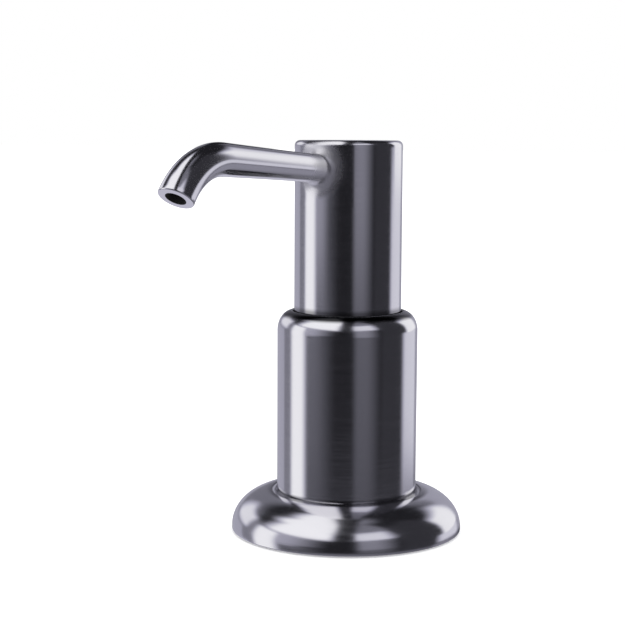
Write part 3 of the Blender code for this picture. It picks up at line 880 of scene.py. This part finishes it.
def mark_along(mesh):
    """Stores each vertex's distance along the spout, which the tube's polish follows."""
    store = mesh.attributes.new("along", "FLOAT", "POINT")
    bend_centre = spout_place(SPOUT_BEND_START)[0] - Vector(
        (0, math.sin(SPOUT_CLIMB), math.cos(SPOUT_CLIMB))
    ) * SPOUT_BEND_RADIUS
    for i, vertex in enumerate(mesh.vertices):
        place = vertex.co / MM
        distance = -place.y
        if distance > SPOUT_BEND_START:
            arm = place - bend_centre
            distance = SPOUT_BEND_START + SPOUT_BEND_RADIUS * (
                math.atan2(-arm.y, arm.z) + SPOUT_CLIMB
            )
        store.data[i].value = distance * MM


def make_head(materials):
    """Drawn cap and its spout, welded with a soft fillet and polished as one."""
    top, depth = SPOUT_LEVEL + HOLE_UP, HOLE_UP + HOLE_DOWN
    rows = [top - depth * i / HOLE_ROWS for i in range(HOLE_ROWS + 1)]
    lower = [75.1 - 1.5 * i for i in range(23)]
    outline = [
        (HEAD_RADIUS - HEAD_EDGE - 0.2, HEAD_TOP),
        *curve_points(
            (HEAD_RADIUS - HEAD_EDGE, HEAD_TOP - HEAD_EDGE), (HEAD_EDGE, HEAD_EDGE), 90, 0, 10
        )[:-1],
        *[(HEAD_RADIUS, row) for row in rows],
        *[(HEAD_RADIUS, row) for row in lower],
        (HEAD_RADIUS, 40.4),
        (HEAD_RADIUS - 0.12, 40.12),
        (HEAD_RADIUS - 0.4, 40.0),
        (HEAD_RADIUS - 0.9, 40.0),
        (HEAD_RADIUS - HEAD_WALL, 40.3),
        (HEAD_RADIUS - HEAD_WALL, 89.9),
    ]
    obj = extrude_rings(outline, HEAD_SIDES)
    bpy.ops.mesh.edge_face_add()
    select_where(obj, lambda co: co.z > (HEAD_TOP - 0.01) * MM)
    bpy.ops.mesh.edge_face_add()
    swell_wall(obj)
    draw_spout(obj)
    bpy.ops.mesh.select_all(action="SELECT")
    bpy.ops.mesh.normals_make_consistent(inside=False)
    bpy.ops.object.mode_set(mode="OBJECT")
    mark_along(obj.data)
    obj = finish_piece(
        obj,
        "head_and_spout",
        materials["turned"],
        "head",
        "head_shell",
        "spout",
        weights="CORNER_ANGLE",
    )
    # For looks only, as real shells would mirror it: the flange and collar don't reflect the head.
    obj.visible_glossy = False
    obj.data.materials.append(materials["drawn"])
    obj.data.materials.append(materials["bore"])
    tube, bore = 1, 2
    for face in obj.data.polygons:
        centre = face.center / MM
        out = math.hypot(centre.x, centre.y)
        if out > HEAD_RADIUS + 0.4:
            to_axis = centre - nearest_on_spout(centre)
            if to_axis.length < SPOUT_BORE + 0.25:
                face.material_index = bore
            elif out > HEAD_RADIUS + BLEND_REACH + 0.4:
                face.material_index = tube
    return obj


# ------------------------------------------------------------------ pump


def make_guide_ring(materials):
    outline = rounded(
        [(12.75, 49.7), (14.0, 49.7), (14.0, 44.0), (12.75, 44.0)],
        {0: 0.25, 1: 0.25, 2: 0.25, 3: 0.25},
    )
    return turned_ring("guide_bush", outline, materials["black_acetal"], "base", "guide_ring")


def make_pump_housing(materials):
    outline = rounded(
        [
            (7.1, 36.9),
            (9.0, 36.9),
            (9.0, 27.4),
            (12.4, 27.4),
            (12.4, 23.2),
            (10.3, 23.2),
            (10.3, 20.8),
            (12.4, 20.8),
            (12.4, 16.0),
            (7.1, 16.0),
        ],
        {1: 0.3, 2: 0.4, 3: 0.5, 4: 0.2, 7: 0.2, 8: 0.7, 9: 0.3},
    )
    return turned_ring(
        "pump_plug", outline, materials["grey_polypropylene"], "cartridge", "pump_housing"
    )


def make_housing_seal(materials):
    clear_selection()
    bpy.ops.mesh.primitive_torus_add(
        major_radius=11.6 * MM,
        minor_radius=0.95 * MM,
        major_segments=ROUND,
        minor_segments=24,
        location=(0, 0, 22.0 * MM),
    )
    bpy.ops.object.transform_apply()
    return finish_piece(
        bpy.context.object, "plug_seal", materials["rubber"], "cartridge", "housing_o_ring"
    )


def make_pump_cylinder(materials):
    outline = rounded(
        [
            (5.2, 39.9),
            (8.9, 39.9),
            (8.9, 38.3),
            (6.7, 38.3),
            (6.7, 16.0),
            (3.9, 13.4),
            (3.4, 13.0),
            (3.4, 9.5),
            (2.3, 9.5),
            (2.3, 12.5),
            (1.4, 12.5),
            (1.4, 14.6),
            (2.6, 15.8),
            (2.6, 19.0),
            (3.3, 19.0),
            (3.3, 20.6),
            (5.2, 20.6),
        ],
        {1: 0.3, 2: 0.3, 3: 0.5, 4: 0.6, 7: 0.3, 8: 0.2},
    )
    return turned_ring(
        "pump_barrel", outline, materials["polyethylene"], "cartridge", "pump_cylinder"
    )


def make_closure_cap(materials):
    outline = rounded(
        [
            (4.6, 42.6),
            (10.7, 42.6),
            (10.7, 30.0),
            (9.3, 30.0),
            (9.3, 40.2),
            (3.3, 40.2),
            (3.3, 41.0),
            (4.6, 41.0),
        ],
        {0: 0.2, 1: 0.8, 2: 0.3},
    )
    return turned_ring(
        "screw_cap", outline, materials["white_acetal"], "cartridge", "closure_cap"
    )


def make_return_spring(materials):
    """Round wire with one closed turn at each end."""
    wire, radius, bottom, top, turns, steps = 0.45, 6.0, 43.7, 65.0, 7, 36
    closed_pitch = 1.15
    open_pitch = (top - bottom - 2 * wire - 2 * closed_pitch) / (turns - 2)
    clear_selection()
    bpy.ops.mesh.primitive_circle_add(
        vertices=12,
        radius=wire * MM,
        fill_type="NGON",
        location=(radius * MM, 0, (bottom + wire) * MM),
        rotation=(math.pi / 2, 0, 0),
    )
    obj = bpy.context.object
    bpy.ops.object.transform_apply(location=True, rotation=True, scale=True)
    bpy.ops.object.mode_set(mode="EDIT")
    bpy.ops.mesh.select_mode(type="FACE")
    bpy.ops.mesh.select_all(action="SELECT")
    # One extrusion for each small turn about the pump's axis.
    for i in range(turns * steps):
        at_end = i < steps or i >= (turns - 1) * steps
        rise = (closed_pitch if at_end else open_pitch) / steps
        bpy.ops.mesh.extrude_region_move(
            TRANSFORM_OT_translate={"value": (0, 0, rise * MM)}
        )
        bpy.ops.transform.rotate(
            value=-math.tau / steps, orient_axis="Z", center_override=(0, 0, 0)
        )
    bpy.ops.mesh.select_all(action="SELECT")
    bpy.ops.mesh.normals_make_consistent(inside=False)
    bpy.ops.object.mode_set(mode="OBJECT")
    obj = finish_piece(obj, "return_spring_wire", materials["spring"], "cartridge", "return_spring")
    # The head's travel is 12 mm of the spring's 21.3 mm.
    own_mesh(obj)
    return obj


def finish_hidden_nodes(materials):
    """The pieces inside the pump keep their shape and get their materials; the outlet liner's is painted
    dark as painted shade.
    """
    finishes = {
        "deck_gasket": "rubber",
        "foot_seal": "rubber",
        "cylinder_gasket": "rubber",
        "stem_wiper": "rubber",
        "piston_cup_seal": "rubber",
        "socket_o_ring": "rubber",
        "spring_washer": "spring",
        "inlet_ball": "spring",
        "outlet_ball": "spring",
        "inlet_ball_cage": "white_acetal",
        "piston": "white_acetal",
        "pump_stem": "white_acetal",
        "head_insert": "white_acetal",
        "outlet_liner": "liner",
    }
    for node, finish in finishes.items():
        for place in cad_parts[node].material_slots:
            place.material = materials[finish]
    # Without the head in the reflections, the pieces inside it would show there.
    for node in ("head_insert", "outlet_liner", "pump_stem", "outlet_ball", "socket_o_ring"):
        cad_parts[node].visible_glossy = False


def build():
    place_camera()
    set_studio()
    lay_floor()
    materials = make_materials()
    make_flange(materials)
    make_collar(materials)
    make_head(materials)
    make_guide_ring(materials)
    make_pump_housing(materials)
    make_housing_seal(materials)
    make_pump_cylinder(materials)
    make_closure_cap(materials)
    make_return_spring(materials)
    finish_hidden_nodes(materials)


build()
